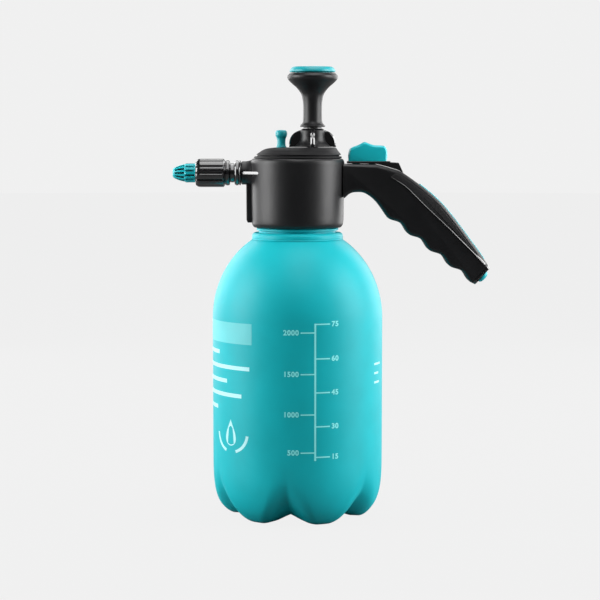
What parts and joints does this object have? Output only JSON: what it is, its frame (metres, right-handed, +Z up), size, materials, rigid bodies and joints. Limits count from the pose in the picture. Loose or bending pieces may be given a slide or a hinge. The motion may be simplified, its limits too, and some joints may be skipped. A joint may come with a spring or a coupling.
{
  "type": "pump sprayer",
  "caption": "Hand-pumped compression sprayer: bottle on moulded feet, screw-on head with plunger pump, relief valve, side grip with thumb trigger and adjustable nozzle.",
  "frame": {"origin": "bottom centre of the bounding box, on the surface that the feet stand on", "axes": "+Z up, -X the way the nozzle points, +X towards the grip, +Y across the body"},
  "size_m": [0.2428, 0.1308, 0.3451],
  "materials": {
    "bottle_plastic": "fine matt blow-moulded surface with a printed scale",
    "black_plastic": "finely textured moulded surface",
    "cyan_plastic": "satin moulded surface",
    "natural_plastic": "plain moulded surface",
    "soft_hose": "smooth soft tube",
    "rubber": "dull",
    "steel": "bright wire and screws"
  },
  "bodies": {
    "bottle": {"bottle": "bottle_plastic"},
    "gasket": {"neck_gasket": "rubber"},
    "head": {"head_body": "black_plastic", "head_cover": "black_plastic", "pump_nut": "black_plastic", "pump_barrel": "natural_plastic", "barrel_seal": "rubber", "check_valve": "rubber", "rod_bush": "natural_plastic", "relief_valve_spring": "steel", "relief_valve_guide": "natural_plastic", "dip_tube": "natural_plastic", "strainer": "natural_plastic", "supply_hose": "soft_hose", "delivery_hose": "soft_hose", "valve_body": "black_plastic", "valve_spring": "steel", "grip_shell_left": "black_plastic", "grip_shell_right": "black_plastic", "grip_inlay": "cyan_plastic", "grip_end_cap": "black_plastic", "end_plug": "cyan_plastic", "trigger_pin": "steel", "trigger_bezel": "black_plastic", "grip_screw_1": "steel", "grip_screw_2": "steel", "grip_screw_3": "steel", "nozzle_pipe": "black_plastic", "nozzle_collar": "black_plastic", "nozzle_swirl_core": "natural_plastic"},
    "pump": {"pump_rod": "natural_plastic", "pump_knob": "black_plastic", "knob_cap": "cyan_plastic", "piston": "natural_plastic", "piston_seal": "rubber"},
    "trigger": {"thumb_trigger": "cyan_plastic"},
    "valve": {"valve_stem": "natural_plastic", "valve_seal": "rubber"},
    "relief_valve": {"relief_valve_stem": "cyan_plastic", "relief_valve_seal": "rubber"},
    "sleeve": {"nozzle_sleeve": "black_plastic"},
    "oring": {"nozzle_oring": "rubber"},
    "tip": {"nozzle_tip": "cyan_plastic"}
  },
  "joints": [
    {"name": "head_lift", "type": "slide", "parent": "bottle", "child": "gasket", "axis": [0, 0, 1], "range_m": [0, 0.235]},
    {"name": "head_twist", "type": "hinge", "parent": "gasket", "child": "head", "pos_m": [-0.02575, 0, 0.24], "axis": [0, 0, 1], "range_deg": [0, 630]},
    {"name": "pump_slide", "type": "slide", "parent": "head", "child": "pump", "axis": [0, 0, 1], "range_m": [0, 0.1]},
    {"name": "trigger_press", "type": "hinge", "parent": "head", "child": "trigger", "pos_m": [0.01925, 0, 0.268], "axis": [0, 1, 0], "range_deg": [0, 8], "stiffness_Nm_per_rad": 0.2, "springref_deg": -11.46},
    {"name": "valve_stem_slide", "type": "slide", "parent": "head", "child": "valve", "axis": [0, 0, -1], "range_m": [0, 0.00168], "deforming": ["valve_spring"]},
    {"name": "relief_valve_lift", "type": "slide", "parent": "head", "child": "relief_valve", "axis": [0, 0, 1], "range_m": [0, 0.004], "stiffness_N_per_m": 300, "springref_m": -0.004, "deforming": ["relief_valve_spring"]},
    {"name": "nozzle_sleeve_turn", "type": "hinge", "parent": "head", "child": "sleeve", "pos_m": [-0.09075, 0, 0.264], "axis": [-1, 0, 0], "range_deg": [0, 720]},
    {"name": "nozzle_tip_travel", "type": "slide", "parent": "sleeve", "child": "oring", "axis": [-1, 0, 0], "range_m": [0, 0.003]},
    {"name": "nozzle_tip_turn", "type": "hinge", "parent": "oring", "child": "tip", "pos_m": [-0.10575, 0, 0.264], "axis": [-1, 0, 0], "range_deg": [0, 540]}
  ],
  "couplings": [
    {"joint": "trigger_press", "follows": "valve_stem_slide", "rad_per_m": 83.3},
    {"joint": "nozzle_tip_turn", "follows": "nozzle_tip_travel", "rad_per_m": 3141.6}
  ]
}
